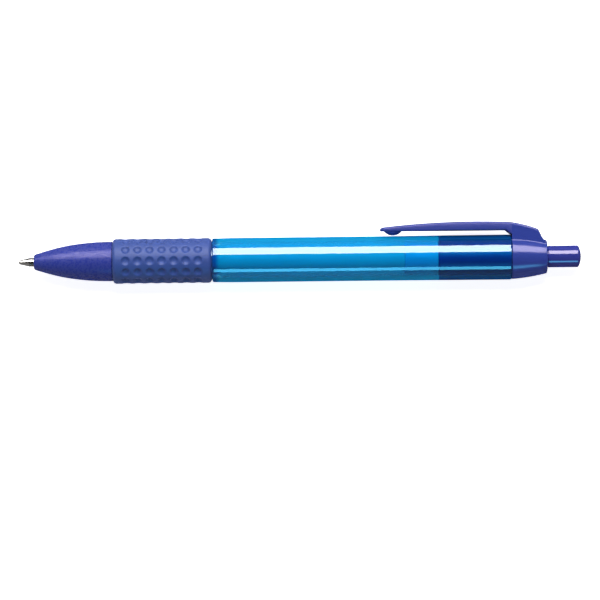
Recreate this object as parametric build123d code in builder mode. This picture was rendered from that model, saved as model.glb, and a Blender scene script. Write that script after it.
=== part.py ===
from build123d import *
import math
import os

# Retractable gel pen, drawn with its tip out and lying on its side. Millimetres.
# X runs along the pen from the writing point to the push button, Y points out through the
# pocket clip and Z is up. The origin is the writing point, on the pen's axis.

# ---- Driving dimensions: stations along the pen ----
nose_front = 3.9
nose_rear = 23.7
grip_front = 23.8
grip_rear = 48.8
shoulder = 48.9
barrel_rear = 124.3
cap_front = 124.35
cap_rear = 133.3
button_rear = 141.9
clip_tip = 91.3

# ---- Driving dimensions: the click ----
# The button stands as drawn with the tip out. Its travels are back from there, and on when pressed.
retract_travel = 5.2
press_travel = 1.5
key_count = 4
groove_width = 2.0
key_width = 1.7
crown_teeth = 8
crown_depth = 0.9

# ---- Radii shared by neighbouring pieces ----
barrel_radius = 5.60
barrel_bore = 4.60
front_tube_radius = 4.75
thread_bore = 3.95
refill_radius = 2.55
refill_bore = 2.0
point_radius = 1.08
ball_radius = 0.35
guide_bore = 3.6
rib_bore = 3.05
cam_radius = 2.9
key_radius = 3.45
button_radius = 2.73
button_neck = 2.55
cap_bore = 4.1
ink_channel_bore = 0.65

# ---- Gaps between neighbours ----
touch = 0.01
snug = 0.03
running = 0.07
end_gap = 0.1

os.makedirs("parts", exist_ok=True)


def finish(piece, name):
    piece.part.label = name
    export_step(piece.part, f"parts/{name}.step")


def along(station):
    """The plane across the pen at a station, facing the button."""
    return Plane.YZ.offset(station)


def crown_notches(face, radius, side):
    """Saw notches across the end face of a tube: side is 1 when the face looks to the button."""
    notch_width = math.pi * radius / crown_teeth
    past_face = 1
    notches = []
    for index in range(crown_teeth):
        angle = 2 * math.pi * index / crown_teeth
        outward = (0, math.cos(angle), math.sin(angle))
        with BuildSketch(Plane(origin=(face, 0, 0), x_dir=(side, 0, 0), z_dir=outward)) as notch:
            with BuildLine():
                Polyline(
                    (-crown_depth, 0),
                    (past_face, 0),
                    (past_face, notch_width),
                    (0, notch_width),
                    close=True,
                )
            make_face()
        notches.append(notch.sketch)
    return notches


def blade_section(station, half_width, low, high, corner):
    """The clip cut across at one station, with its two outer corners rounded."""
    inset = corner * (1 - math.sqrt(0.5))
    with BuildSketch(along(station)) as section:
        with BuildLine():
            Polyline(
                (high - corner, half_width),
                (low, half_width),
                (low, -half_width),
                (high - corner, -half_width),
            )
            ThreePointArc(
                (high - corner, -half_width),
                (high - inset, inset - half_width),
                (high, corner - half_width),
            )
            Line((high, corner - half_width), (high, half_width - corner))
            ThreePointArc(
                (high, half_width - corner),
                (high - inset, half_width - inset),
                (high - corner, half_width),
            )
        make_face()
    return section.sketch


# ---- Barrel: see-through tube, with a thinner front tube under the grip ----
barrel_front_radius = 5.52
barrel_rear_radius = 5.68
barrel_edge = 0.4
front_tube_end = 24.0
thread_end = 35.0
thread_runout = 0.5
full_bore_from = 51.7
shoulder_bore = 3.6
shoulder_depth = 1.3
straight_from = 54.0
straight_to = 91.0

with BuildPart() as barrel:
    with BuildSketch(Plane.XY):
        with BuildLine():
            Polyline(
                (full_bore_from, barrel_bore),
                (barrel_rear, barrel_bore),
                (barrel_rear, barrel_rear_radius - barrel_edge),
            )
            RadiusArc(
                (barrel_rear, barrel_rear_radius - barrel_edge),
                (barrel_rear - barrel_edge, barrel_rear_radius),
                -barrel_edge,
            )
            Polyline(
                (barrel_rear - barrel_edge, barrel_rear_radius),
                (straight_to, barrel_radius),
                (straight_from, barrel_radius),
                (shoulder + barrel_edge, barrel_front_radius),
            )
            RadiusArc(
                (shoulder + barrel_edge, barrel_front_radius),
                (shoulder, barrel_front_radius - barrel_edge),
                -barrel_edge,
            )
            Polyline(
                (shoulder, barrel_front_radius - barrel_edge),
                (shoulder, front_tube_radius),
                (front_tube_end, front_tube_radius),
                (front_tube_end, thread_bore),
                (thread_end, thread_bore),
                (thread_end + thread_runout, shoulder_bore),
                (shoulder + shoulder_depth, shoulder_bore),
                (full_bore_from, barrel_bore),
            )
        make_face()
    revolve(axis=Axis.X)
finish(barrel, "barrel")

# ---- Grip: rubber sleeve with seven rings of twelve round dimples ----
grip_bore = front_tube_radius + snug
grip_radius = 5.66
grip_round = 1.0
grip_end_radius = grip_radius - 0.7 * grip_round
grip_bulge = (0.34 * grip_round, grip_radius - 0.2 * grip_round)
dimple_width = 2.2
dimple_depth = 0.4
dimple_rings = 7
dimple_rows = 12
dimple_first = 26.95
dimple_pitch = 3.03
dimple_ball = (dimple_width**2 / 4 + dimple_depth**2) / (2 * dimple_depth)
dimple_centre = grip_radius - dimple_depth + dimple_ball

dimple_points = []
for ring in range(dimple_rings):
    for row in range(dimple_rows):
        row_angle = 2 * math.pi * row / dimple_rows
        dimple_points.append(
            (
                dimple_first + ring * dimple_pitch,
                dimple_centre * math.cos(row_angle),
                dimple_centre * math.sin(row_angle),
            )
        )

with BuildPart() as grip_sleeve:
    with BuildSketch(Plane.XY):
        with BuildLine():
            Polyline(
                (grip_front, grip_end_radius),
                (grip_front, grip_bore),
                (grip_rear, grip_bore),
                (grip_rear, grip_end_radius),
            )
            ThreePointArc(
                (grip_rear, grip_end_radius),
                (grip_rear - grip_bulge[0], grip_bulge[1]),
                (grip_rear - grip_round, grip_radius),
            )
            Line((grip_rear - grip_round, grip_radius), (grip_front + grip_round, grip_radius))
            ThreePointArc(
                (grip_front + grip_round, grip_radius),
                (grip_front + grip_bulge[0], grip_bulge[1]),
                (grip_front, grip_end_radius),
            )
        make_face()
    revolve(axis=Axis.X)
    with Locations(*dimple_points):
        Sphere(dimple_ball, mode=Mode.SUBTRACT)
finish(grip_sleeve, "grip_sleeve")

# ---- Nose cone: ogive with the point's hole, the spring seat and the screwed neck ----
nose_hole = point_radius + running
nose_radius = 4.98
nose_lip = 1.45
nose_lip_bulge = (4.0, 1.74)
nose_shoulder = (4.3, 1.99)
nose_shoulder_run = (-1, -0.3)
nose_flank = [(9.6, 3.50), (15.4, 4.53)]
spring_seat = 7.6
seat_radius = 2.15
neck_bore = 3.0
neck_bore_from = 14.0
neck_radius = 3.6
neck_end = 33.0
thread_radius = thread_bore - 0.08
thread_root = neck_radius - 0.1
thread_from = 25.6
thread_pitch = 1.0
thread_rings = 6
crest_from, crest_to, crest_foot = 0.35 * thread_pitch, 0.55 * thread_pitch, 0.9 * thread_pitch

with BuildPart() as nose_cone:
    with BuildSketch(Plane.XY):
        with BuildLine():
            Polyline((nose_front, nose_lip), (nose_front, nose_hole), (spring_seat, nose_hole))
            Polyline(
                (spring_seat, nose_hole),
                (spring_seat, seat_radius),
                (neck_bore_from, neck_bore),
                (neck_end, neck_bore),
                (neck_end, neck_radius),
                (nose_rear, neck_radius),
                (nose_rear, nose_radius),
            )
            Spline(
                (nose_rear, nose_radius),
                *reversed(nose_flank),
                nose_shoulder,
                tangents=[(-1, 0), nose_shoulder_run],
            )
            ThreePointArc(nose_shoulder, nose_lip_bulge, (nose_front, nose_lip))
        make_face()
    with BuildSketch(Plane.XY):
        for ring in range(thread_rings):
            ring_start = thread_from + ring * thread_pitch
            with BuildLine():
                Polyline(
                    (ring_start, thread_root),
                    (ring_start + crest_from, thread_radius),
                    (ring_start + crest_to, thread_radius),
                    (ring_start + crest_foot, thread_root),
                    close=True,
                )
            make_face()
    revolve(axis=Axis.X)
finish(nose_cone, "nose_cone")

# ---- Pocket clip: arched blade with a flare to its root and a pad under its tip ----
clip_crest = 9.08
crest_station = 114.5
crest_fall = 0.00245
clip_underside = 6.8
clip_corner = 0.5
# Station, half width, underside, top and corner of the clip's rounded end.
tip_sections = [
    (clip_tip, 1.3, 6.95, 7.35, 0.2),
    (clip_tip + 0.3, 1.75, 6.78, 7.6, 0.3),
]
# Half width at each station from the rounded end to the root.
flare = [
    (clip_tip + 1.0, 2.05),
    (94.2, 2.32),
    (99.2, 2.68),
    (105.3, 3.24),
    (108.3, 3.68),
    (111.5, 3.78),
    (117.0, 3.78),
    (122.0, 3.78),
    (cap_front, 3.62),
]
web_from = 122.8
web_to = 124.2
web_foot = 5.76
web_top = 7.2
pad_centre = clip_tip + 3.2
pad_half_length = 2.25
pad_low = 5.75
pad_sunk = 0.3
pad_depth = clip_underside - pad_low
pad_ball = (pad_half_length**2 + pad_depth**2) / (2 * pad_depth)


def crest(station):
    return clip_crest - crest_fall * (station - crest_station) ** 2


clip_sections = [blade_section(*section) for section in tip_sections]
for clip_station, half_width in flare:
    clip_sections.append(
        blade_section(clip_station, half_width, clip_underside, crest(clip_station), clip_corner)
    )

with BuildPart() as pad:
    with Locations((pad_centre, pad_low + pad_ball, 0)):
        Sphere(pad_ball)
    split(bisect_by=Plane.XZ.offset(-clip_underside - pad_sunk), keep=Keep.TOP)

with BuildPart() as clip:
    loft(clip_sections, ruled=True)
    with BuildSketch(Plane.XY):
        with BuildLine():
            Polyline(
                (web_from, clip_underside + end_gap),
                (web_to, web_foot),
                (cap_front, web_foot),
                (cap_front, web_top),
                (web_from, web_top),
                close=True,
            )
        make_face()
    extrude(amount=flare[-1][1], both=True)
    add(pad.part)
finish(clip, "clip")

# ---- Rear cap: domed shell with the raised land under the clip's root ----
cap_radius = 5.56
cap_mid = (128.9, 5.06)
cap_corner = (132.9, 4.26)
cap_corner_bulge = (133.22, 4.02)
cap_face = 3.6
cap_wall = 1.5
button_hole = button_radius + running
key_room = 3.6
snap_end = 129.5
snap_lead = 0.3
land_low = 2.4
# Station, half width and top of the land.
land_sections = [
    (cap_front, 3.62, crest(cap_front)),
    (125.6, 3.45, 8.60),
    (127.5, 3.30, 8.17),
    (129.5, 3.15, 7.64),
    (131.0, 3.05, 7.00),
    (132.4, 2.95, 4.24),
]

with BuildPart() as clip_cap:
    with BuildSketch(Plane.XY):
        with BuildLine():
            ThreePointArc((cap_front, cap_radius), cap_mid, cap_corner)
            ThreePointArc(cap_corner, cap_corner_bulge, (cap_rear, cap_face))
            Polyline(
                (cap_rear, cap_face),
                (cap_rear, 0),
                (cap_front, 0),
                (cap_front, cap_radius),
            )
        make_face()
    revolve(axis=Axis.X)
    loft(
        [blade_section(place, half, land_low, high, clip_corner) for place, half, high in land_sections],
        ruled=True,
    )
    with BuildSketch(Plane.XY):
        with BuildLine():
            Polyline(
                (cap_front, 0),
                (cap_front, cap_bore),
                (snap_end, cap_bore),
                (snap_end + snap_lead, key_room),
                (cap_rear - cap_wall, key_room),
                (cap_rear - cap_wall, button_hole),
                (cap_rear, button_hole),
                (cap_rear, 0),
                close=True,
            )
        make_face()
    revolve(axis=Axis.X, mode=Mode.SUBTRACT)
finish(clip_cap, "clip_cap")

# ---- Cam guide: tube in the rear of the barrel, with grooves between its inner ribs ----
guide_front = 105.8
guide_radius = barrel_bore - snug
guide_edge = 0.2
snap_radius = cap_bore - 0.05
rib_sunk = 0.1
rib_half = 0.6
groove_depth = 2.0
rib_front = 112.0
rib_rear = 127.0

with BuildPart() as cam_guide:
    with BuildSketch(Plane.XY):
        with BuildLine():
            Polyline(
                (guide_front, guide_bore),
                (guide_front, guide_radius - guide_edge),
                (guide_front + guide_edge, guide_radius),
                (barrel_rear, guide_radius),
                (barrel_rear, snap_radius),
                (snap_end - end_gap, snap_radius),
                (snap_end - end_gap, guide_bore),
                close=True,
            )
        make_face()
    revolve(axis=Axis.X)
    with BuildSketch(along(rib_front)):
        Circle(guide_bore + rib_sunk)
        Circle(rib_bore, mode=Mode.SUBTRACT)
        with PolarLocations(guide_bore - rib_half, key_count):
            Rectangle(groove_depth, groove_width, mode=Mode.SUBTRACT)
    extrude(amount=rib_rear - rib_front)
finish(cam_guide, "cam_guide")

# ---- Rotor collar: milky sleeve that keeps the rotor in the guide ----
collar_front = 97.3
collar_bore = 3.2
collar_edge = 0.3
collar_spigot = 107.2

with BuildPart() as rotor_collar:
    with BuildSketch(Plane.XY):
        with BuildLine():
            Polyline(
                (collar_front, collar_bore),
                (collar_front, guide_radius - collar_edge),
                (collar_front + collar_edge, guide_radius),
                (guide_front - snug, guide_radius),
                (guide_front - snug, guide_bore - snug),
                (collar_spigot, guide_bore - snug),
                (collar_spigot, collar_bore),
                close=True,
            )
        make_face()
    revolve(axis=Axis.X)
finish(rotor_collar, "rotor_collar")

# ---- Cam rotor: cup over the refill's tail, four ribs and a toothed crown ----
tail_end = 106.0
cup_front = 103.2
cup_bore = refill_radius + 0.1
rotor_crown = 112.2
crown_bore = 1.7
vent_bore = 0.8
vent_from = tail_end + 2 * touch
hollow_to = rotor_crown - 2 * crown_depth
rotor_rib_front = collar_spigot + press_travel + 0.3
rotor_rib_rear = rib_front - end_gap

with BuildPart() as cam_rotor:
    with BuildSketch(Plane.XY):
        with BuildLine():
            Polyline(
                (cup_front, cup_bore),
                (cup_front, cam_radius),
                (rotor_crown, cam_radius),
                (rotor_crown, crown_bore),
                (hollow_to, crown_bore),
                (hollow_to, vent_bore),
                (vent_from, vent_bore),
                (vent_from, cup_bore),
                close=True,
            )
        make_face()
    revolve(axis=Axis.X)
    for notch in crown_notches(rotor_crown, cam_radius, 1):
        extrude(notch, amount=cam_radius + 1, mode=Mode.SUBTRACT)
    with BuildSketch(along(rotor_rib_front)):
        with PolarLocations(cam_radius, key_count):
            Rectangle(2 * (key_radius - cam_radius), key_width)
    extrude(amount=rotor_rib_rear - rotor_rib_front)
finish(cam_rotor, "cam_rotor")

# ---- Push button: thumb end, neck, keys in the grooves and a toothed crown ----
button_crown = rotor_crown + 0.15
button_body_rear = cap_rear - cap_wall - retract_travel
button_hollow_end = 138.0
head_front = 133.7
head_lead = 0.2
key_front = 117.0
key_rear = button_body_rear - end_gap
button_edge = 0.5
button_bulge = (1.35 * button_edge, 0.3 * button_edge)
dome_radius = ((button_radius - button_edge) ** 2 + button_edge**2) / (2 * button_edge)

with BuildPart() as push_button:
    with BuildSketch(Plane.XY):
        with BuildLine():
            Polyline(
                (button_hollow_end, 0),
                (button_hollow_end, crown_bore),
                (button_crown, crown_bore),
                (button_crown, cam_radius),
                (button_body_rear, cam_radius),
                (button_body_rear, button_neck),
                (head_front - head_lead, button_neck),
                (head_front, button_radius),
                (button_rear - 2 * button_edge, button_radius),
            )
            ThreePointArc(
                (button_rear - 2 * button_edge, button_radius),
                (button_rear - button_bulge[0], button_radius - button_bulge[1]),
                (button_rear - button_edge, button_radius - button_edge),
            )
            RadiusArc(
                (button_rear - button_edge, button_radius - button_edge),
                (button_rear, 0),
                dome_radius,
            )
            Line((button_rear, 0), (button_hollow_end, 0))
        make_face()
    revolve(axis=Axis.X)
    for notch in crown_notches(button_crown, cam_radius, -1):
        extrude(notch, amount=cam_radius + 1, mode=Mode.SUBTRACT)
    with BuildSketch(along(key_front)):
        with PolarLocations(cam_radius, key_count):
            Rectangle(2 * (key_radius - cam_radius), key_width)
    extrude(amount=key_rear - key_front)
finish(push_button, "push_button")

# ---- Writing ball ----
with BuildPart() as writing_ball:
    with Locations((ball_radius, 0, 0)):
        Sphere(ball_radius)
finish(writing_ball, "writing_ball")

# ---- Metal tip: turned cone with the ball's socket and the ink channel ----
socket_gap = 0.025
rim = 0.18
rim_radius = 0.42
lip_radius = 0.51
point_shoulder = 2.75
tip_rear = 11.0
channel = 0.25
tip_bore_from = 3.0
tip_bore_lead = 0.4

with BuildPart() as metal_tip:
    with BuildSketch(Plane.XY):
        with BuildLine():
            Polyline(
                (rim, 0),
                (rim, rim_radius),
                (ball_radius, lip_radius),
                (point_shoulder, point_radius),
                (tip_rear, point_radius),
                (tip_rear, ink_channel_bore),
                (tip_bore_from, ink_channel_bore),
                (tip_bore_from - tip_bore_lead, channel),
                (2 * ball_radius, channel),
                (2 * ball_radius, 0),
                close=True,
            )
        make_face()
    revolve(axis=Axis.X)
    with Locations((ball_radius, 0, 0)):
        Sphere(ball_radius + socket_gap, mode=Mode.SUBTRACT)
finish(metal_tip, "metal_tip")

# ---- Point spring: hair spring that seats the ball, its coils drawn as rings on its rod ----
hair_rod = 0.12
hair_coil = 0.55
hair_ring = 0.2
hair_from = 3.4
hair_pitch = 0.8
hair_rings = 6
hair_front = 2 * ball_radius + socket_gap + touch
hair_end = hair_from + (hair_rings - 1) * hair_pitch + hair_ring

with BuildPart() as point_spring:
    with BuildSketch(along(hair_front)):
        Circle(hair_rod)
    extrude(amount=hair_end - hair_front)
    for ring in range(hair_rings):
        with BuildSketch(along(hair_from + ring * hair_pitch)):
            Circle(hair_coil)
        extrude(amount=hair_ring)
finish(point_spring, "point_spring")

# ---- Tip holder: adapter with the spring's shoulder ----
holder_front = 9.6
holder_stem = 1.5
holder_edge = (0.8, 0.2)
holder_bore = 1.2
holder_bore_from = tip_rear + 0.9
holder_shoulder = 20.5
holder_shoulder_radius = 2.4
tube_front = 23.5
holder_rear = 29.0

with BuildPart() as tip_holder:
    with BuildSketch(Plane.XY):
        with BuildLine():
            Polyline(
                (holder_front, point_radius + touch),
                (holder_front, holder_stem - holder_edge[1]),
                (holder_front + holder_edge[0], holder_stem),
                (holder_shoulder, holder_stem),
                (holder_shoulder, holder_shoulder_radius),
                (tube_front, holder_shoulder_radius),
                (tube_front, refill_bore - touch),
                (holder_rear, refill_bore - touch),
                (holder_rear, holder_bore),
                (holder_bore_from, ink_channel_bore),
                (tip_rear + touch, ink_channel_bore),
                (tip_rear + touch, point_radius + touch),
                close=True,
            )
        make_face()
    revolve(axis=Axis.X)
finish(tip_holder, "tip_holder")

# ---- Refill tube, its vented plug, the ink and the grease behind it ----
tube_rear = 104.0
plug_front = 98.5
plug_sunk = 0.5
ink_rear = 88.0
grease_rear = 92.0
vent = 0.4

with BuildPart() as refill_tube:
    with BuildSketch(along(tube_front + touch)):
        Circle(refill_radius)
        Circle(refill_bore, mode=Mode.SUBTRACT)
    extrude(amount=tube_rear - tube_front - touch)
finish(refill_tube, "refill_tube")

with BuildPart() as refill_tail_plug:
    with BuildSketch(along(plug_front)):
        Circle(refill_bore - touch)
        Circle(vent, mode=Mode.SUBTRACT)
    extrude(amount=tube_rear - plug_front + plug_sunk)
    with BuildSketch(along(tube_rear + touch)):
        Circle(refill_radius)
        Circle(vent, mode=Mode.SUBTRACT)
    extrude(amount=tail_end - tube_rear - touch)
finish(refill_tail_plug, "refill_tail_plug")

with BuildPart() as ink_column:
    with BuildSketch(along(holder_rear + touch)):
        Circle(refill_bore - touch)
    extrude(amount=ink_rear - holder_rear - 2 * touch)
finish(ink_column, "ink_column")

with BuildPart() as grease_follower:
    with BuildSketch(along(ink_rear)):
        Circle(refill_bore - touch)
    extrude(amount=grease_rear - ink_rear)
finish(grease_follower, "grease_follower")

# ---- Return spring: between the nose cone's seat and the holder's shoulder ----
spring_wire = 0.15
spring_coil = 1.85
spring_turns = 13
spring_front = spring_seat + spring_wire + 2 * touch
spring_length = holder_shoulder - spring_wire - 2 * touch - spring_front

with BuildPart() as return_spring:
    with BuildLine():
        spring_path = Helix(
            spring_length / spring_turns, spring_length, spring_coil, (spring_front, 0, 0), (1, 0, 0)
        )
    with BuildSketch(Plane(origin=spring_path @ 0, z_dir=spring_path % 0)):
        Circle(spring_wire)
    sweep(is_frenet=True)
finish(return_spring, "return_spring")
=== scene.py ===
import math

import bmesh
import bpy
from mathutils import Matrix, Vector


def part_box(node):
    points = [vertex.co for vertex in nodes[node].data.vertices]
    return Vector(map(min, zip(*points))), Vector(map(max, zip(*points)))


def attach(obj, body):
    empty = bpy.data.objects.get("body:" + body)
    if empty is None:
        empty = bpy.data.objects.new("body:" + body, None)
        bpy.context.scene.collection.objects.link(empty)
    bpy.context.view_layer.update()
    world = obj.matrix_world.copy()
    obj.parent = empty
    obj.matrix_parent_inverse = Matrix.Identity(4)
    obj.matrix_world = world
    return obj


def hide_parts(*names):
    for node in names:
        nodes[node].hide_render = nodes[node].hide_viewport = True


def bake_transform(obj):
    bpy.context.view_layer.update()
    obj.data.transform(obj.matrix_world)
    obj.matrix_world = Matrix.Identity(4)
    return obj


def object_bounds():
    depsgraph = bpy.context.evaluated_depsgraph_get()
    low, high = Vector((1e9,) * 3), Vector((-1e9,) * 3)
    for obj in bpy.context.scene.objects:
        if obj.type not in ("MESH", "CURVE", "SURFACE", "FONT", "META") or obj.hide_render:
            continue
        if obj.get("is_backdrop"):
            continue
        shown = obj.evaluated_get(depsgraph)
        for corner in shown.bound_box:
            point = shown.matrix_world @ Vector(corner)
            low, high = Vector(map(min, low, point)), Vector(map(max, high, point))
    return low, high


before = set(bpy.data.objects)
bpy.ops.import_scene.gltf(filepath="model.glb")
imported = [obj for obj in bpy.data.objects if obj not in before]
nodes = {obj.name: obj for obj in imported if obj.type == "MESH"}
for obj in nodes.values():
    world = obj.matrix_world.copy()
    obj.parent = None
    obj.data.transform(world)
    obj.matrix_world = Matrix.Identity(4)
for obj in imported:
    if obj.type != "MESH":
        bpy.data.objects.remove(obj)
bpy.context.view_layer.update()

# A retractable pen, lying on its side: its point faces -X, its button +X, its clip +Y.
# Blender works in metres, and MM is one millimetre. The pieces' sizes are named in millimetres,
# the studio's in metres.
MM = 0.001

AXIS_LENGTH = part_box("push_button")[1].x

# ---------------------------------------------------------------- node trees


class Wire:
    """A node's output. Sums and products of wires and numbers add Math nodes."""

    def __init__(self, tree, socket):
        self.tree = tree
        self.socket = socket

    def math(self, operation, first, second=0.0):
        return self.tree.node("ShaderNodeMath", {"operation": operation}, {0: first, 1: second})

    def __add__(self, other):
        return self.math("ADD", self, other)

    __radd__ = __add__

    def __sub__(self, other):
        return self.math("SUBTRACT", self, other)

    def __rsub__(self, other):
        return self.math("SUBTRACT", other, self)

    def __mul__(self, other):
        return self.math("MULTIPLY", self, other)

    __rmul__ = __mul__

    def __truediv__(self, other):
        return self.math("DIVIDE", self, other)

    def __pow__(self, other):
        return self.math("POWER", self, other)

    def at_least(self, other):
        return self.math("MAXIMUM", self, other)

    def at_most(self, other):
        return self.math("MINIMUM", self, other)

    def whole(self):
        return self.math("ROUND", self)


class Tree:
    """A node tree being wired up."""

    def __init__(self, tree):
        self.tree = tree

    def node(self, kind, settings=None, inputs=None, output=0):
        """Adds a node: its settings first, then the values or wires of its sockets."""
        made = self.tree.nodes.new(kind)
        for key, value in (settings or {}).items():
            setattr(made, key, value)
        for key, value in (inputs or {}).items():
            if isinstance(value, Wire):
                self.tree.links.new(value.socket, made.inputs[key])
            else:
                made.inputs[key].default_value = value
        return Wire(self, made.outputs[output]) if len(made.outputs) else made


class Finish(Tree):
    """A material being made. Patterns are laid out in the object's own millimetres."""

    def __init__(self, name):
        self.material = bpy.data.materials.new(name)
        self.material.use_nodes = True
        super().__init__(self.material.node_tree)
        self.tree.nodes.clear()
        here = self.node("ShaderNodeTexCoord", output="Object")
        self.place = self.node(
            "ShaderNodeVectorMath", {"operation": "SCALE"}, {0: here, "Scale": 1 / MM}
        )
        self.along = self.node("ShaderNodeSeparateXYZ", {}, {0: self.place}, "X")

    def noise(self, size, detail=2.0, stretch=(1.0, 1.0, 1.0)):
        """Soft noise from 0 to 1 whose blotches are about size millimetres."""
        where = self.node(
            "ShaderNodeVectorMath", {"operation": "MULTIPLY"}, {0: self.place, 1: stretch}
        )
        return self.node(
            "ShaderNodeTexNoise",
            {"noise_dimensions": "3D"},
            {"Vector": where, "Scale": 1 / size, "Detail": detail, "Roughness": 0.55},
        )

    def rings(self, size, detail=3.0):
        """Noise that changes only along the pen, as turning marks do."""
        return self.node(
            "ShaderNodeTexNoise",
            {"noise_dimensions": "1D"},
            {"W": self.along, "Scale": 1 / size, "Detail": detail},
        )

    def pits(self, size):
        """Distance to the nearest of many scattered points about size millimetres apart."""
        return self.node("ShaderNodeTexVoronoi", {}, {"Vector": self.place, "Scale": 1 / size})

    def mix(self, share, first, second):
        """A colour from first to second as share goes from 0 to 1."""
        return self.node(
            "ShaderNodeMix",
            {"data_type": "RGBA", "clamp_factor": True},
            {0: share, 6: opaque(first), 7: opaque(second)},
            2,
        )

    def bump(self, height, depth, strength=1.0):
        """A normal for a relief whose height runs from 0 to 1 over depth millimetres."""
        return self.node(
            "ShaderNodeBump", {}, {"Height": height, "Distance": depth * MM, "Strength": strength}
        )

    def surface(self, **inputs):
        """A Principled surface; double underscores stand for the spaces in socket names."""
        sockets = {key.replace("__", " "): value for key, value in inputs.items()}
        return self.node("ShaderNodeBsdfPrincipled", {}, sockets)

    def done(self, shader):
        self.node("ShaderNodeOutputMaterial", {}, {"Surface": shader})
        return self.material


def opaque(colour):
    """A colour tuple with alpha, or the wire that was given."""
    return colour if isinstance(colour, Wire) else (*colour, 1.0)


def tinted(colour, factor):
    """The colour made lighter or darker."""
    return tuple(min(1.0, channel * factor) for channel in colour)


# ---------------------------------------------------------------- colours

VIOLET = (0.030, 0.046, 0.290)
CAP_VIOLET = (0.033, 0.056, 0.315)
CLIP_VIOLET = (0.031, 0.049, 0.280)
RUBBER_BLUE = (0.034, 0.072, 0.290)
BUTTON_VIOLET = (0.033, 0.042, 0.275)
GUIDE_VIOLET = (0.012, 0.060, 0.340)
BARREL_TINT = (0.30, 0.85, 0.95)
BARREL_BODY = (0.002, 0.52, 0.92)
COLLAR_BLUE = (0.07, 0.52, 0.92)
NATURAL = (0.80, 0.82, 0.82)
REFILL_WHITE = (0.86, 0.87, 0.86)
NICKEL = (0.58, 0.56, 0.53)
CARBIDE = (0.04, 0.04, 0.045)
SPRING_STEEL = (0.48, 0.48, 0.49)
INK_BLUE = (0.004, 0.012, 0.22)
GREASE = (0.75, 0.74, 0.62)
WARM_SHINE = (1.0, 0.88, 0.98, 1.0)


# ---------------------------------------------------------------- finishes

# The barrel's clear wall: its tint at the neck, where the wall turns thick, its body colour near
# its edges, and how far round the edge that colour sets in (0 faces the eye, 1 is edge on).
BARREL_NECK_TINT = (0.12, 0.46, 0.76)
NECK_LENGTH = 26.2
BARREL_NECK_END = (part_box("barrel")[0].x + NECK_LENGTH * MM) / MM
NECK_BLEND = 0.5
WALL_BLUE = (0.002, 0.25, 0.51)
NECK_WALL = (0.001, 0.08, 0.27)
# Over the guide the wall's edges are darker: partly the dark guide seen through the wall, partly painted
# shade standing in for the clip's shadow, laid all round.
GUIDE_SEEN_AND_CLIP_SHADE = (0.001, 0.055, 0.23)
GUIDE_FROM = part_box("cam_guide")[0].x / MM
COLLAR_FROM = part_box("rotor_collar")[0].x / MM
STATION_BLEND = 0.2
EDGE_FROM = 0.16
EDGE_REACH = 0.32
EDGE_MILK = 0.90
BORE_MILK = 0.62
GLOSS_TINT = (0.86, 0.98, 1.0)
GLOSS_LIMIT = 0.078
GLOSS_IOR = 1.75


def spark_textured(name, colour, grain, depth, roughness, glint, shine):
    """Moulding from a spark-eroded tool: fine pits, with glints where it is smoother, and a faint painted
    sparkle of lighter colour on those same facets.

    Grain and depth are the pits' size and depth in millimetres, glint is how much smoother the
    bright facets are, and shine is the strength of the gloss.
    """
    make = Finish(name)
    cloud = make.noise(7.0, 2.0)
    fine = make.noise(grain, 2.0)
    pitted = make.pits(grain * 1.3)
    relief = fine * 0.6 + pitted * 0.4
    facet = ((make.noise(grain * 1.5, 1.0) - 0.5) * 6.0 + 0.5).at_least(0.0).at_most(1.0)
    # The cloud gives a random tone; the facet share is painted sparkle, a slightly lighter colour on the
    # glinting facets.
    colour_here = make.mix(cloud * 0.85 + facet * 0.15, tinted(colour, 0.93), tinted(colour, 1.08))
    return make.done(
        make.surface(
            Base__Color=colour_here,
            Roughness=roughness + glint * 0.5 - facet * glint,
            IOR=1.49,
            Specular__IOR__Level=shine,
            Specular__Tint=WARM_SHINE,
            Normal=make.bump(relief, depth, 0.36),
        )
    )


def grip_rubber():
    """Soft rubber: matt, with a faint dusty sheen and a fine skin."""
    make = Finish("soft_grip_rubber")
    cloud = make.noise(3.0, 3.0)
    skin = make.noise(0.22, 3.0)
    colour_here = make.mix(cloud, tinted(RUBBER_BLUE, 0.86), tinted(RUBBER_BLUE, 1.16))
    return make.done(
        make.surface(
            Base__Color=colour_here,
            Roughness=0.44 + skin * 0.14,
            IOR=1.5,
            Specular__IOR__Level=0.24,
            Sheen__Weight=0.04,
            Sheen__Roughness=0.5,
            Normal=make.bump(skin, 0.012, 0.6),
        )
    )


def polished_button():
    """Polished moulding with the faint drag lines that the cap's hole leaves along it."""
    make = Finish("polished_button_plastic")
    drag = make.noise(0.5, 3.0, (0.06, 1.0, 1.0))
    colour_here = make.mix(make.noise(4.0), tinted(BUTTON_VIOLET, 0.92), tinted(BUTTON_VIOLET, 1.1))
    return make.done(
        make.surface(
            Base__Color=colour_here,
            Roughness=0.05 + drag * 0.04,
            IOR=1.49,
            Specular__IOR__Level=0.68,
            Specular__Tint=WARM_SHINE,
            Normal=make.bump(drag, 0.002, 0.12),
        )
    )


def thick_wall_share(make):
    """Goes from 0 to 1 where the barrel's wall thickens into its neck."""
    return ((BARREL_NECK_END + NECK_BLEND - make.along) / (2 * NECK_BLEND)).at_least(0.0).at_most(1.0)


def seen_through(make):
    """The clear plastic's tint, with faint flow marks, deeper where the wall is thick."""
    flow = make.noise(6.0, 3.0, (0.15, 1.0, 1.0))
    thick = thick_wall_share(make).at_least(flow * 0.04)
    thin_wall = make.node("ShaderNodeBsdfTransparent", {}, {"Color": opaque(BARREL_TINT)})
    thick_wall = make.node("ShaderNodeBsdfTransparent", {}, {"Color": opaque(BARREL_NECK_TINT)})
    return make.node("ShaderNodeMixShader", {}, {0: thick, 1: thin_wall, 2: thick_wall})


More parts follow.
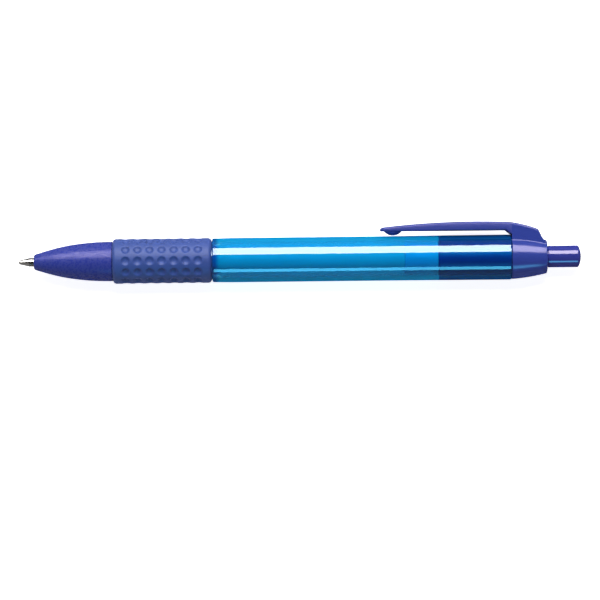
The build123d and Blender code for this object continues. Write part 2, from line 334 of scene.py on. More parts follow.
def barrel_skin():
    """Outside of the clear barrel. It is deeper towards its edges, where sight runs along the wall."""
    make = Finish("clear_blue_barrel_plastic")
    scuff = make.noise(1.2, 1.0, (0.01, 1.0, 1.0))
    relief = make.bump(scuff, 0.001, 0.1)
    through = seen_through(make)
    facing = make.node("ShaderNodeLayerWeight", {}, {"Blend": 0.5}, "Facing")
    along_wall = ((facing - EDGE_FROM) / EDGE_REACH).at_least(0.0).at_most(1.0)
    # Over the guide the edge colour darkens: the guide seen through the wall, plus painted shade for the
    # clip's shadow.
    over_guide = ((make.along - GUIDE_FROM) / STATION_BLEND).at_least(0.0).at_most(1.0)
    plain_wall = make.mix(thick_wall_share(make), WALL_BLUE, NECK_WALL)
    body = make.surface(
        Base__Color=make.mix(over_guide, plain_wall, GUIDE_SEEN_AND_CLIP_SHADE),
        Roughness=0.4,
        Specular__IOR__Level=0.0,
    )
    milk = along_wall * EDGE_MILK
    filled = make.node("ShaderNodeMixShader", {}, {0: milk, 1: through, 2: body})
    gloss = make.surface(
        Base__Color=opaque(GLOSS_TINT), Metallic=1.0, Roughness=0.02 + scuff * 0.02, Normal=relief
    )
    mirror = make.node("ShaderNodeFresnel", {}, {"IOR": GLOSS_IOR})
    return make.done(
        make.node("ShaderNodeMixShader", {}, {0: mirror.at_most(GLOSS_LIMIT), 1: filled, 2: gloss})
    )


def barrel_bore():
    """Inside of the barrel: a milky wall of the plastic's own blue, clear where pieces fill the bore."""
    make = Finish("milky_blue_barrel_bore")
    cloud = make.noise(5.0, 3.0, (0.2, 1.0, 1.0))
    through = seen_through(make)
    body = make.surface(
        Base__Color=make.mix(cloud, tinted(BARREL_BODY, 0.93), tinted(BARREL_BODY, 1.05)),
        Roughness=0.5 + cloud * 0.1,
        Specular__IOR__Level=0.1,
    )
    bare = ((COLLAR_FROM + STATION_BLEND - make.along) / STATION_BLEND).at_least(0.0).at_most(1.0)
    return make.done(
        make.node("ShaderNodeMixShader", {}, {0: bare * BORE_MILK, 1: through, 2: body})
    )


def plain_moulding(name, colour, roughness):
    """Inner mouldings: satin, with soft flow marks."""
    make = Finish(name)
    flow = make.noise(2.5, 3.0, (0.4, 1.0, 1.0))
    return make.done(
        make.surface(
            Base__Color=make.mix(flow, tinted(colour, 0.9), tinted(colour, 1.06)),
            Roughness=roughness + flow * 0.1,
            IOR=1.49,
            Normal=make.bump(make.noise(0.4), 0.006, 0.4),
        )
    )


def turned_metal(name, colour, roughness):
    """Lathe-turned metal: fine rings round it, and a slight tarnish."""
    make = Finish(name)
    lines = make.rings(0.05)
    tarnish = make.noise(0.8, 3.0)
    return make.done(
        make.surface(
            Base__Color=make.mix(tarnish, tinted(colour, 0.88), tinted(colour, 1.08)),
            Metallic=1.0,
            Roughness=roughness + lines * 0.1,
            Normal=make.bump(lines, 0.003, 0.35),
        )
    )


def drawn_wire():
    """Spring wire with the fine marks of its drawing."""
    make = Finish("drawn_spring_wire")
    draw = make.noise(0.12, 2.0)
    return make.done(
        make.surface(
            Base__Color=make.mix(draw, tinted(SPRING_STEEL, 0.85), tinted(SPRING_STEEL, 1.1)),
            Metallic=1.0,
            Roughness=0.24 + draw * 0.14,
            Normal=make.bump(draw, 0.003, 0.3),
        )
    )


def thick_fluid(name, colour, roughness):
    """Ink and grease: glossy and a little uneven."""
    make = Finish(name)
    cloud = make.noise(1.2, 2.0)
    return make.done(
        make.surface(
            Base__Color=make.mix(cloud, tinted(colour, 0.85), tinted(colour, 1.12)),
            Roughness=roughness + cloud * 0.08,
            Normal=make.bump(cloud, 0.02, 0.3),
        )
    )


def studio_floor():
    """Even white that glows."""
    make = Finish("studio_floor")
    cloud = make.noise(60.0, 2.0)
    return make.done(
        make.surface(
            Base__Color=make.mix(cloud, (0.86, 0.86, 0.86), (0.89, 0.89, 0.89)),
            Roughness=0.85,
            Emission__Color=(1.0, 1.0, 1.0, 1.0),
            Emission__Strength=FLOOR_GLOW,
        )
    )


FINISHES = {
    "nose_cone": spark_textured(
        "spark_textured_nose_plastic",
        VIOLET,
        grain=0.36,
        depth=0.034,
        roughness=0.34,
        glint=0.30,
        shine=0.25,
    ),
    "clip_cap": spark_textured(
        "satin_cap_plastic",
        CAP_VIOLET,
        grain=0.40,
        depth=0.004,
        roughness=0.17,
        glint=0.04,
        shine=0.42,
    ),
    "clip": spark_textured(
        "spark_textured_clip_plastic",
        CLIP_VIOLET,
        grain=0.30,
        depth=0.016,
        roughness=0.36,
        glint=0.16,
        shine=0.30,
    ),
    "grip_sleeve": grip_rubber(),
    "push_button": polished_button(),
    "barrel": barrel_skin(),
    "cam_guide": plain_moulding("guide_plastic_violet", GUIDE_VIOLET, 0.3),
    "rotor_collar": plain_moulding("collar_plastic_blue", COLLAR_BLUE, 0.4),
    "cam_rotor": plain_moulding("rotor_plastic_natural", tinted(NATURAL, 0.96), 0.35),
    "tip_holder": plain_moulding("holder_plastic_natural", tinted(NATURAL, 0.92), 0.35),
    "refill_tube": plain_moulding("refill_tube_plastic", REFILL_WHITE, 0.25),
    "refill_tail_plug": plain_moulding("plug_plastic_natural", tinted(NATURAL, 0.9), 0.4),
    "metal_tip": turned_metal("turned_nickel_tip", NICKEL, 0.06),
    "writing_ball": turned_metal("ground_carbide_ball", CARBIDE, 0.25),
    "return_spring": drawn_wire(),
    "ink_column": thick_fluid("blue_gel_ink", INK_BLUE, 0.2),
    "grease_follower": thick_fluid("clear_end_grease", GREASE, 0.15),
}
FINISHES["point_spring"] = FINISHES["return_spring"]


# ---------------------------------------------------------------- mesh helpers


def skin_over(name, rings, closed=False):
    """A mesh over rings of points. Open lofts are shut at both ends; closed ones return to the first."""
    made = bmesh.new()
    loops = [[made.verts.new(Vector(point) * MM) for point in ring] for ring in rings]
    pairs = list(zip(loops, loops[1:]))
    if closed:
        pairs.append((loops[-1], loops[0]))
    for first, second in pairs:
        for i in range(len(first)):
            j = (i + 1) % len(first)
            made.faces.new((first[i], first[j], second[j], second[i]))
    if not closed:
        for loop in (loops[0], loops[-1]):
            centre = made.verts.new(sum((v.co for v in loop), Vector()) / len(loop))
            for i in range(len(loop)):
                made.faces.new((loop[i - 1], loop[i], centre))
    bmesh.ops.recalc_face_normals(made, faces=made.faces)
    mesh = bpy.data.meshes.new(name)
    made.to_mesh(mesh)
    made.free()
    return finished(name, mesh)


def finished(name, mesh, sharp_degrees=38):
    """Links a mesh as a smooth-shaded object that keeps its real edges crisp."""
    mesh.shade_smooth()
    mesh.set_sharp_from_angle(angle=math.radians(sharp_degrees))
    piece = bpy.data.objects.new(name, mesh)
    bpy.context.scene.collection.objects.link(piece)
    return piece


def dress(piece, node):
    """Gives a piece its node's finish, and lets it stand for that node."""
    piece.data.materials.clear()
    piece.data.materials.append(FINISHES[node])
    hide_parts(node)


def curve_through(knots, x):
    """A smooth curve through pairs of station and value."""
    last = len(knots) - 1
    i = max(k for k in range(last) if x >= knots[k][0] or k == 0)

    def slope(k):
        low, high = knots[max(k - 1, 0)], knots[min(k + 1, last)]
        return (high[1] - low[1]) / (high[0] - low[0])

    (x0, y0), (x1, y1) = knots[i], knots[i + 1]
    span = x1 - x0
    t = min(max((x - x0) / span, 0.0), 1.0)
    return (
        (1 + 2 * t) * (1 - t) ** 2 * y0
        + t * (1 - t) ** 2 * span * slope(i)
        + t * t * (3 - 2 * t) * y1
        + t * t * (t - 1) * span * slope(i + 1)
    )


def steps(start, end, size):
    """Even stations from start to end, no further apart than size."""
    count = max(1, math.ceil((end - start) / size))
    return [start + (end - start) * k / count for k in range(count + 1)]


def turned(name, outline, columns=144):
    """A closed turning about the pen's axis, from an outline of stations and radii."""
    turns = [math.tau * k / columns for k in range(columns)]
    rings = [[(x, r * math.cos(a), r * math.sin(a)) for a in turns] for x, r in outline]
    return skin_over(name, rings, closed=True)


def rounded_edge(x, r, size_x, size_r, count=5):
    """Outline points of a quarter round from (x, r) that ends size_x along and size_r out."""
    quarter = [math.pi / 2 * k / count for k in range(count + 1)]
    return [(x + size_x * (1 - math.cos(a)), r + size_r * math.sin(a)) for a in quarter]


# ---------------------------------------------------------------- barrel

BARREL_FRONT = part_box("barrel")[0].x / MM
BARREL_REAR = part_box("barrel")[1].x / MM
BARREL_RADIUS = 5.60
BARREL_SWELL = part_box("barrel")[1].z / MM
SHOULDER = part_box("grip_sleeve")[1].x / MM + 0.1
SHOULDER_RADIUS = 5.52
BARREL_EDGE = 0.4
EDGE_HOLD = 0.05
SPIGOT_RADIUS = 4.75
BORE = 4.60
THREAD_BORE = 3.95
NECK_BORE = 3.6
NECK_TAPER = 1.6
THREAD_LENGTH = 11.0
THREAD_RUNOUT = 0.5
PARALLEL = (54.0, 91.0)


def make_barrel():
    """The clear tube with its neck, one closed turning: skin outside, milky bore inside."""
    outline = [(BARREL_FRONT, THREAD_BORE), (BARREL_FRONT, SPIGOT_RADIUS), (SHOULDER, SPIGOT_RADIUS)]
    outline += rounded_edge(SHOULDER, SHOULDER_RADIUS - BARREL_EDGE, BARREL_EDGE, BARREL_EDGE)
    outline.append((SHOULDER + BARREL_EDGE + EDGE_HOLD, SHOULDER_RADIUS))
    outline += [(PARALLEL[0], BARREL_RADIUS), (PARALLEL[1], BARREL_RADIUS)]
    outline.append((BARREL_REAR - BARREL_EDGE - EDGE_HOLD, BARREL_SWELL))
    edge = rounded_edge(BARREL_REAR, BARREL_SWELL - BARREL_EDGE, -BARREL_EDGE, BARREL_EDGE)
    outline += edge[::-1]
    outside = len(outline)
    outline += [
        (BARREL_REAR, BORE),
        (BARREL_NECK_END + NECK_TAPER, BORE),
        (BARREL_NECK_END, NECK_BORE),
        (BARREL_FRONT + THREAD_LENGTH + THREAD_RUNOUT, NECK_BORE),
        (BARREL_FRONT + THREAD_LENGTH, THREAD_BORE),
    ]
    barrel = turned("barrel_clear", outline)
    columns = len(barrel.data.vertices) // len(outline)
    dress(barrel, "barrel")
    barrel.data.materials.append(barrel_bore())
    for face in barrel.data.polygons:
        inside = all(outside <= v // columns for v in face.vertices)
        face.material_index = 1 if inside else 0
    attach(barrel, "body")


# ---------------------------------------------------------------- grip sleeve

GRIP_ROUND = 1.0
GRIP_BORE = 4.78
DIMPLE_RINGS = 7
DIMPLE_ROWS = 12
DIMPLE_PITCH = 3.03
DIMPLE_WIDTH = 2.3
DIMPLE_DEPTH = 0.46
BOWL_SOFTNESS = 0.6
GRIP_STATIONS = 250
GRIP_COLUMNS = 264
END_CROWDING = 0.6


def dimpled_sleeve(material):
    """A tube rolled from a grid, with rounded ends and rows of shallow dimples."""
    group = bpy.data.node_groups.new("dimpled_sleeve", "GeometryNodeTree")
    for label in ("Front", "Length", "Radius", "Bore", "Rounding", "First", "Pitch", "Width", "Depth"):
        group.interface.new_socket(label, in_out="INPUT", socket_type="NodeSocketFloat")
    group.interface.new_socket("Geometry", in_out="OUTPUT", socket_type="NodeSocketGeometry")
    make = Tree(group)
    given = group.nodes.new("NodeGroupInput")
    size = {socket.name: Wire(make, socket) for socket in given.outputs if socket.name}
    sheet = make.node(
        "GeometryNodeMeshGrid",
        {},
        {"Size X": 1.0, "Size Y": 1.0, "Vertices X": GRIP_STATIONS, "Vertices Y": GRIP_COLUMNS + 1},
    )
    flat = make.node("GeometryNodeInputPosition")
    row = (make.node("ShaderNodeSeparateXYZ", {}, {0: flat}, "X") + 0.5) * (GRIP_STATIONS - 1)
    turn = (make.node("ShaderNodeSeparateXYZ", {}, {0: flat}, "Y") + 0.5) * math.tau
    share = ((row - 1.0) / (GRIP_STATIONS - 4.0)).at_least(0.0).at_most(1.0)
    wave = share.math("SINE", share * math.tau)
    crowded = share - wave * (END_CROWDING / math.tau)
    back_row = row.math("GREATER_THAN", row, GRIP_STATIONS - 1.5)
    inner_row = back_row.math(
        "MAXIMUM", row.math("LESS_THAN", row, 0.5), row.math("GREATER_THAN", row, GRIP_STATIONS - 2.5)
    )
    reach = crowded * size["Length"] * (1.0 - back_row)
    from_end = reach.at_most(size["Length"] - reach).at_most(size["Rounding"])
    short_of = size["Rounding"] - from_end
    rounded = (size["Rounding"] * size["Rounding"] - short_of * short_of).at_least(0.0) ** 0.5
    ring = ((reach - size["First"]) / size["Pitch"]).whole().at_least(0.0).at_most(DIMPLE_RINGS - 1.0)
    off_ring = reach - size["First"] - ring * size["Pitch"]
    row_turn = math.tau / DIMPLE_ROWS
    off_row = (turn - (turn / row_turn).whole() * row_turn) * size["Radius"]
    away = (off_ring * off_ring + off_row * off_row) / (size["Width"] * size["Width"] * 0.25)
    bowl = (1.0 - away).at_least(0.0)
    hollow = bowl * bowl * (3.0 - 2.0 * bowl) * BOWL_SOFTNESS + bowl * (1 - BOWL_SOFTNESS)
    outer = size["Radius"] - size["Rounding"] + rounded - hollow * size["Depth"]
    radius = outer * (1.0 - inner_row) + size["Bore"] * inner_row
    rolled = make.node(
        "ShaderNodeCombineXYZ",
        {},
        {
            "X": size["Front"] + reach,
            "Y": radius * turn.math("COSINE", turn),
            "Z": radius * turn.math("SINE", turn),
        },
    )
    shaped = make.node("GeometryNodeSetPosition", {}, {"Geometry": sheet, "Position": rolled})
    joined = make.node("GeometryNodeMergeByDistance", {}, {"Geometry": shaped, "Distance": 0.001 * MM})
    real = make.node("GeometryNodeRealizeInstances", {}, {"Geometry": joined})
    dressed = make.node("GeometryNodeSetMaterial", {}, {"Geometry": real, "Material": material})
    make.node("NodeGroupOutput", {}, {"Geometry": dressed})
    return group


def grown(name, group, sizes):
    """Runs a Geometry Nodes tree with the given sizes and keeps its result as a plain mesh."""
    seed = bpy.data.objects.new(name + "_seed", bpy.data.meshes.new(name + "_seed"))
    bpy.context.scene.collection.objects.link(seed)
    grow = seed.modifiers.new("grow", "NODES")
    grow.node_group = group
    for socket in group.interface.items_tree:
        if socket.in_out == "INPUT":
            grow[socket.identifier] = sizes[socket.name]
    result = seed.evaluated_get(bpy.context.evaluated_depsgraph_get())
    mesh = bpy.data.meshes.new_from_object(result)
    mesh.name = name
    bpy.data.objects.remove(seed)
    return mesh


def facing_out(mesh):
    """Turns a closed mesh's faces outwards."""
    made = bmesh.new()
    made.from_mesh(mesh)
    bmesh.ops.recalc_face_normals(made, faces=made.faces)
    made.to_mesh(mesh)
    made.free()
    return mesh


def make_grip():
    """The rubber sleeve, with its rings of dimples centred along it."""
    low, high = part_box("grip_sleeve")
    length = high.x - low.x
    first = (length - (DIMPLE_RINGS - 1) * DIMPLE_PITCH * MM) / 2
    sizes = {
        "Front": low.x,
        "Length": length,
        "Radius": high.z,
        "Bore": GRIP_BORE * MM,
        "Rounding": GRIP_ROUND * MM,
        "First": first,
        "Pitch": DIMPLE_PITCH * MM,
        "Width": DIMPLE_WIDTH * MM,
        "Depth": DIMPLE_DEPTH * MM,
    }
    mesh = grown("grip_sleeve_dimpled", dimpled_sleeve(FINISHES["grip_sleeve"]), sizes)
    grip = finished("grip_sleeve_dimpled", facing_out(mesh))
    dress(grip, "grip_sleeve")
    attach(grip, "body")


# ---------------------------------------------------------------- clip and cap

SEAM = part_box("clip_cap")[0].x / MM
CLIP_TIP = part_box("clip")[0].x / MM
CREST_STATION = SEAM - 9.85
CREST_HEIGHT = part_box("clip")[1].y / MM
CREST_FALL = 0.00245
UNDERSIDE = 6.8
CORNER = 0.5
CROWN = 0.14
TIP_ROUND = 1.1
TIP_MIDDLE = 7.2
TIP_NARROW = 0.52
TIP_THIN = 0.35
HEEL_SHARE = 0.6
CORNER_LIMIT = 0.45
TIP_STEPS = 12
TOP_STEPS = 12
SHOULDER_STEPS = 7
HEEL_STEPS = 6
UNDER_STEPS = 24
FINE_STEP = 0.1
BLADE_STEP = 0.5
SEAM_EASE = 0.07
SEAM_SLOPE = 0.8
WEB_START = 1.45
WEB_END = 0.15
WEB_FOOT = 5.76
PAD_PLACE = 3.2
PAD_LENGTH = 2.25
PAD_MARGIN = 0.1
PAD_LOW = 5.75

# Half width of the clip, at stations counted back from the seam.
CLIP_WIDTHS = [
    (SEAM - 33.1, 1.90),
    (SEAM - 32.05, 2.05),
    (SEAM - 30.15, 2.32),
    (SEAM - 25.15, 2.68),
    (SEAM - 19.05, 3.24),
    (SEAM - 16.05, 3.68),
    (SEAM - 12.85, 3.78),
    (SEAM - 7.0, 3.78),
    (SEAM - 2.0, 3.72),
    (SEAM, 3.62),
]


def crest(x):
    """Height of the clip's upper face, which is one long shallow arch."""
    return CREST_HEIGHT - CREST_FALL * (x - CREST_STATION) ** 2


def seam_drop(away):
    """How far the surface dips at a distance from the seam between the clip and the cap."""
    return max(0.0, SEAM_EASE - away) * SEAM_SLOPE


def pad_floor(x, z):
    """Underside of the round pad that presses on the barrel."""
    drop = UNDERSIDE - PAD_LOW
    ball = (PAD_LENGTH**2 + drop**2) / (2 * drop)
    inside = ball**2 - (x - CLIP_TIP - PAD_PLACE) ** 2 - z**2
    return PAD_LOW + ball - math.sqrt(inside) if inside > 0 else UNDERSIDE


def clip_section(x):
    """One ring of points round the clip: over the top, down one side, underneath, and up again."""
    ahead = min(1.0, (x - CLIP_TIP) / TIP_ROUND)
    ease = math.sqrt(1 - (1 - ahead) ** 2)
    narrowing = TIP_NARROW + (1 - TIP_NARROW) * ease
    thinning = TIP_THIN + (1 - TIP_THIN) * ease
    half = curve_through(CLIP_WIDTHS, x) * narrowing
    into_web = (x - SEAM + WEB_START) / (WEB_START - WEB_END)
    foot = UNDERSIDE - (UNDERSIDE - WEB_FOOT) * min(max(into_web, 0.0), 1.0)
    foot = TIP_MIDDLE + (foot - TIP_MIDDLE) * thinning
    top = TIP_MIDDLE + (crest(x) - seam_drop(SEAM - x) - TIP_MIDDLE) * thinning
    corner = min(CORNER, CORNER_LIMIT * (top - foot), CORNER_LIMIT * half)
    heel = HEEL_SHARE * corner
    edge_top = top - CROWN * ((half - corner) / half) ** 2

    def shoulder(side, shares):
        """The rounded upper edge of one side, at shares of its quarter turn."""
        turns = [math.pi / 2 * share for share in shares]
        return [
            (x, edge_top - corner * (1 - math.cos(a)), side * (half - corner + corner * math.sin(a)))
            for a in turns
        ]

    def lower_edge(side, shares):
        """The rounded lower edge of one side, at shares of its quarter turn."""
        turns = [math.pi / 2 * share for share in shares]
        return [
            (x, foot + heel * (1 - math.sin(a)), side * (half - heel + heel * math.cos(a)))
            for a in turns
        ]

    across = [(half - corner) * (1 - 2 * k / TOP_STEPS) for k in range(TOP_STEPS + 1)]
    under = [(half - heel) * (2 * k / UNDER_STEPS - 1) for k in range(1, UNDER_STEPS)]
    down = [k / SHOULDER_STEPS for k in range(1, SHOULDER_STEPS + 1)]
    in_under = [k / HEEL_STEPS for k in range(HEEL_STEPS + 1)]
    ring = [(x, top - CROWN * (z / half) ** 2, z) for z in across]
    ring += shoulder(-1, down) + lower_edge(-1, in_under)
    ring += [(x, min(foot, pad_floor(x, z)), z) for z in under]
    ring += lower_edge(1, in_under[::-1]) + shoulder(1, down[-2::-1])
    return ring


def make_clip():
    """The clip's blade and web as one loft."""
    turns = [math.pi / 2 * k / TIP_STEPS for k in range(TIP_STEPS)]
    tip = [CLIP_TIP + TIP_ROUND * (1 - math.cos(a)) for a in turns]
    pad_end = CLIP_TIP + PAD_PLACE + PAD_LENGTH + PAD_MARGIN
    stations = tip + steps(CLIP_TIP + TIP_ROUND, pad_end, FINE_STEP)
    stations += steps(pad_end, SEAM - WEB_START, BLADE_STEP)[1:]
    stations += steps(SEAM - WEB_START, SEAM - SEAM_EASE, FINE_STEP)[1:] + [SEAM]
    clip = skin_over("spring_clip", [clip_section(x) for x in stations])
    dress(clip, "clip")
    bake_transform(clip)


# The land is the raised back of the clip that runs down over the cap. All in millimetres.
CAP_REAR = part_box("clip_cap")[1].x / MM
CAP_WIDE = 5.56
CAP_MIDDLE = 5.06
CAP_MIDDLE_STATION = SEAM + 4.55
CAP_NARROW = 4.26
CAP_FACE = 3.6
CAP_HOLE = 2.80
CAP_HOLE_EDGE = 0.12
CAP_ROOM = 4.1
KEY_ROOM = 3.6
KEY_ROOM_FROM = SEAM + 5.1
CAP_WALL = 1.45
REAR_ROUND = 0.4
ROUND_STEPS = 8
EASE_STEP = 0.035
CAP_STEP = 0.25
LAND_FALL = SEAM + 6.3
FALL_STEP = 0.07
EDGE_CROWN = CROWN * 0.7
LOWEST_LAND = 1.0
LEAST_RISE = 0.5
FOOT_TURN = 0.06
LEAST_TURN = 0.08
LAND_COLUMNS = (12, 8, 14, 46)
LAND_HEIGHTS = [
    (SEAM, crest(SEAM)),
    (SEAM + 1.25, 8.60),
    (SEAM + 3.15, 8.16),
    (SEAM + 5.15, 7.60),
    (SEAM + 6.35, 7.14),
    (SEAM + 6.75, 6.86),
    (SEAM + 7.15, 6.00),
    (SEAM + 7.65, 5.00),
    (SEAM + 8.15, 4.30),
    (SEAM + 8.6, 3.60),
    (CAP_REAR, 3.00),
]
LAND_WIDTHS = [(SEAM, 3.62), (SEAM + 3.15, 3.32), (SEAM + 6.65, 3.05), (CAP_REAR, 2.85)]


def cap_radius(x):
    """Outside of the cap: a slow taper, then a small round into the rear face."""
    corner = CAP_REAR - REAR_ROUND
    middle = CAP_MIDDLE_STATION
    at = min(x, corner)
    taper = (
        CAP_WIDE * (at - middle) * (at - corner) / ((SEAM - middle) * (SEAM - corner))
        + CAP_MIDDLE * (at - SEAM) * (at - corner) / ((middle - SEAM) * (middle - corner))
        + CAP_NARROW * (at - SEAM) * (at - middle) / ((corner - SEAM) * (corner - middle))
    )
    if x <= corner:
        return taper - seam_drop(x - SEAM)
    rest = (x - corner) / REAR_ROUND
    return CAP_FACE + (CAP_NARROW - CAP_FACE) * math.sqrt(max(0.0, 1 - rest * rest))


def land_reach(angle, half, height):
    """Distance from the axis to the land's rounded outline, at an angle from straight up."""
    up, out = math.cos(angle), math.sin(angle)
    if up > 0 and height * out <= (half - CORNER) * up:
        z = height * out / up
        return (height - CROWN * (z / half) ** 2) / up
    if half * up <= (height - CORNER) * out:
        return half / out
    along = (height - CORNER - EDGE_CROWN) * up + (half - CORNER) * out
    off = (height - CORNER - EDGE_CROWN) ** 2 + (half - CORNER) ** 2 - CORNER**2
    return along + math.sqrt(max(0.0, along * along - off))


def joined_reach(first, second, soft=0.22):
    """The larger of two distances, with a small fillet where they meet."""
    near = max(soft - abs(first - second), 0.0) / soft
    return max(first, second) + near * near * soft / 4


def cap_section(x):
    """One ring round the cap and its land. Its points gather at the land's corners."""
    radius = cap_radius(x)
    half = curve_through(LAND_WIDTHS, x)
    height = curve_through(LAND_HEIGHTS, x) - seam_drop(x - SEAM)
    turn_in = math.atan2(half - CORNER, height)
    turn_out = math.atan2(half, max(height - CORNER, LEAST_RISE))
    foot = max(math.asin(min(1.0, half / radius)) + FOOT_TURN, turn_out + LEAST_TURN)
    marks = [0.0, turn_in, turn_out, foot, math.pi]
    angles = []
    for low, high, count in zip(marks, marks[1:], LAND_COLUMNS):
        angles += [low + (high - low) * k / count for k in range(count)]
    angles.append(math.pi)
    angles += [-a for a in reversed(angles[1:-1])]
    ring = []
    for a in angles:
        reach = radius
        if abs(a) < math.pi / 2 and height > LOWEST_LAND:
            reach = joined_reach(radius, land_reach(abs(a), half, height))
        ring.append((x, reach * math.cos(a), reach * math.sin(a)))
    return ring


def plain_ring(x, radius, like):
    """A round ring with its points at the same angles as another ring's."""
    ring = []
    for _, y, z in like:
        a = math.atan2(z, y)
        ring.append((x, radius * math.cos(a), radius * math.sin(a)))
    return ring


def make_cap():
    """The cap, its land and its stepped bore as one closed loft."""
    turns = [math.pi / 2 * k / ROUND_STEPS for k in range(1, ROUND_STEPS + 1)]
    stations = steps(SEAM, SEAM + SEAM_EASE, EASE_STEP)
    stations += steps(SEAM + SEAM_EASE, LAND_FALL, CAP_STEP)[1:]
    stations += steps(LAND_FALL, CAP_REAR - REAR_ROUND, FALL_STEP)[1:]
    stations += [CAP_REAR - REAR_ROUND * (1 - math.sin(a)) for a in turns]
    rings = [cap_section(x) for x in stations]
    last = rings[-1]
    wall = CAP_REAR - CAP_WALL
    inner = [
        (CAP_REAR, (CAP_FACE + CAP_HOLE) / 2),
        (CAP_REAR, CAP_HOLE + CAP_HOLE_EDGE),
        (CAP_REAR - CAP_HOLE_EDGE, CAP_HOLE),
        (wall, CAP_HOLE),
        (wall, KEY_ROOM),
        (KEY_ROOM_FROM, KEY_ROOM),
        (KEY_ROOM_FROM, CAP_ROOM),
        (SEAM, CAP_ROOM),
    ]
    rings += [plain_ring(x, radius, last) for x, radius in inner]
    cap = skin_over("clip_cap_moulding", rings, closed=True)
    dress(cap, "clip_cap")
    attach(cap, "body")


# ---------------------------------------------------------------- return spring

SPRING_TURNS = 13
SPRING_WIRE = 0.15
STEPS_PER_TURN = 28
WIRE_SIDES = 10


def make_spring():
    """The refill's coil."""
    low, high = (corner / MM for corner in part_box("return_spring"))
    coil = high.z - SPRING_WIRE
    front, rear = low.x + SPRING_WIRE, high.x - SPRING_WIRE
    count = SPRING_TURNS * STEPS_PER_TURN
    sides = [math.tau * k / WIRE_SIDES for k in range(WIRE_SIDES)]
    rings = []
    for k in range(count + 1):
        x = front + (rear - front) * k / count
        turn = math.tau * SPRING_TURNS * k / count
        reaches = [(x + SPRING_WIRE * math.sin(b), coil + SPRING_WIRE * math.cos(b)) for b in sides]
        rings.append([(at, r * math.cos(turn), r * math.sin(turn)) for at, r in reaches])
    spring = skin_over("return_spring_coil", rings)
    dress(spring, "return_spring")
    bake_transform(spring)


# ---------------------------------------------------------------- assembly


def slot_of(node):
    """The record's slot for a CAD node, by its imported material's name."""
    return nodes[node].data.materials[0].name.split(".")[0]


for node_name, node in nodes.items():
    node["slot_name"] = slot_of(node_name)
for node_name, material in FINISHES.items():
    nodes[node_name].material_slots[0].material = material

make_barrel()
make_grip()
make_clip()
make_cap()
make_spring()

# ---------------------------------------------------------------- studio

VIEW_WIDTH = 151.4 * MM
LENS = 200.0
SENSOR = 36.0
VIEW_CENTRE = (0.49965 * AXIS_LENGTH, -10.25 * MM, 0.0)
VIEW_ROLL = -0.0112
KEY_DISTANCE = 0.84
KEY_ANGLE = math.radians(46.5)
KEY_SPREAD = math.radians(18.5)
EDGE_ANGLE = math.radians(-57)
EDGE_SPREAD = math.radians(8.5)
KEY_STRIP = (-0.53, 0.67)
EDGE_STRIP = (-0.005, 0.520)
KEY_GLOSS = 11.4
KEY_SOFT_ANGLE = math.radians(37)
KEY_SOFT_POWER = 8.2
KEY_SOFT_STRIP = (-0.08, 0.22)
EDGE_GLOSS = 7.5
EDGE_COLOUR = (0.12, 0.66, 1.0)
SKY = 0.16
SKY_FALL = 1.1
BACKDROP = 1.0
END_GLOW = 0.14
END_FROM = -0.2
END_REACH = 0.15
BESIDE_FROM = 0.10
BESIDE_REACH = 0.12
FLOOR_GLOW = 0.88
FLOOR_HALF = 3.0


def strip_light(name, angle, spread, reach, power, colour=(1.0, 1.0, 1.0)):
    """A long soft light beside the pen, leaning by angle from straight overhead."""
    lamp = bpy.data.lights.new(name, "AREA")
    lamp.shape = "RECTANGLE"
    lamp.size = reach[1] - reach[0]
    lamp.size_y = 2 * KEY_DISTANCE * math.tan(spread)
    lamp.energy = power
    lamp.color = colour
    light = bpy.data.objects.new(name, lamp)
    light.location = (sum(reach) / 2, KEY_DISTANCE * math.sin(angle), KEY_DISTANCE * math.cos(angle))
    light.rotation_euler = (-angle, 0.0, 0.0)
    bpy.context.scene.collection.objects.link(light)
    return light


def gloss_strip(name, angle, spread, reach, brightness, colour=(1.0, 1.0, 1.0)):
    """A strip that only shows as a reflection. Its size does not change how bright it looks."""
    area = (reach[1] - reach[0]) * 2 * KEY_DISTANCE * math.tan(spread)
    light = strip_light(name, angle, spread, reach, brightness * area * math.pi, colour)
    light.visible_diffuse = False


def light_pen():
    """The long highlight, its thin blue partner, and a soft light that has no reflection."""
    gloss_strip("key_gloss", KEY_ANGLE, KEY_SPREAD, KEY_STRIP, KEY_GLOSS)
    gloss_strip("edge_gloss", EDGE_ANGLE, EDGE_SPREAD, EDGE_STRIP, EDGE_GLOSS, EDGE_COLOUR)
    soft = strip_light("key_soft", KEY_SOFT_ANGLE, KEY_SPREAD, KEY_SOFT_STRIP, KEY_SOFT_POWER)
    soft.visible_glossy = False


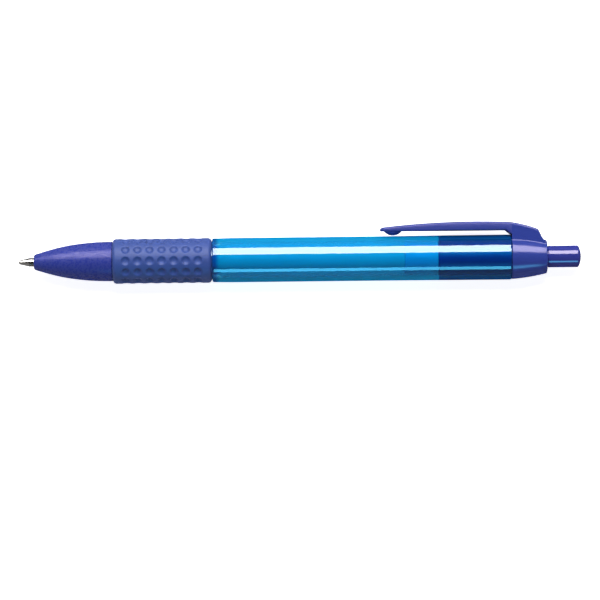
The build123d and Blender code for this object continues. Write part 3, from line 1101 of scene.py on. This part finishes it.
def make_floor(height):
    """A white floor under the pen, lit like a light table. Glossy pieces do not mirror it."""
    signs = [(-1, -1), (1, -1), (1, 1), (-1, 1)]
    corners = [(x * FLOOR_HALF, y * FLOOR_HALF, height) for x, y in signs]
    mesh = bpy.data.meshes.new("floor")
    mesh.from_pydata(corners, [], [(0, 1, 2, 3)])
    mesh.materials.append(studio_floor())
    floor = bpy.data.objects.new("floor", mesh)
    bpy.context.scene.collection.objects.link(floor)
    floor.visible_glossy = False
    floor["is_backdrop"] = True


def make_sky():
    """White behind everything for the camera, and a dim sky for what the pen reflects."""
    world = bpy.data.worlds.new("studio")
    world.use_nodes = True
    world.node_tree.nodes.clear()
    make = Tree(world.node_tree)
    seen = make.node("ShaderNodeLightPath", output="Is Camera Ray")
    way = make.node("ShaderNodeTexCoord", output="Generated")
    east = make.node("ShaderNodeSeparateXYZ", {}, {0: way}, "X")
    north = make.node("ShaderNodeSeparateXYZ", {}, {0: way}, "Y")
    up = make.node("ShaderNodeSeparateXYZ", {}, {0: way}, "Z")
    past_end = ((END_FROM - east) / END_REACH).at_least(0.0).at_most(1.0)
    off_axis = north.math("ABSOLUTE", north)
    beside = ((off_axis - BESIDE_FROM) / BESIDE_REACH).at_least(0.0).at_most(1.0)
    sky = (SKY_FALL - up.math("ABSOLUTE", up)) * SKY + past_end * beside * END_GLOW
    strength = seen * BACKDROP + (1.0 - seen) * sky
    glow = make.node("ShaderNodeBackground", {}, {"Color": (1.0, 1.0, 1.0, 1.0), "Strength": strength})
    make.node("ShaderNodeOutputWorld", {}, {"Surface": glow})
    bpy.context.scene.world = world


def make_camera():
    """A long lens straight above the pen."""
    lens = bpy.data.cameras.new("camera")
    lens.lens = LENS
    lens.sensor_width = SENSOR
    camera = bpy.data.objects.new("camera", lens)
    camera.location = Vector(VIEW_CENTRE) + Vector((0, 0, VIEW_WIDTH * LENS / SENSOR))
    camera.rotation_euler = (0.0, 0.0, VIEW_ROLL)
    bpy.context.scene.collection.objects.link(camera)
    bpy.context.scene.camera = camera


make_floor(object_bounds()[0][2])
make_sky()
light_pen()
make_camera()
bpy.context.scene.view_settings.view_transform = "Standard"
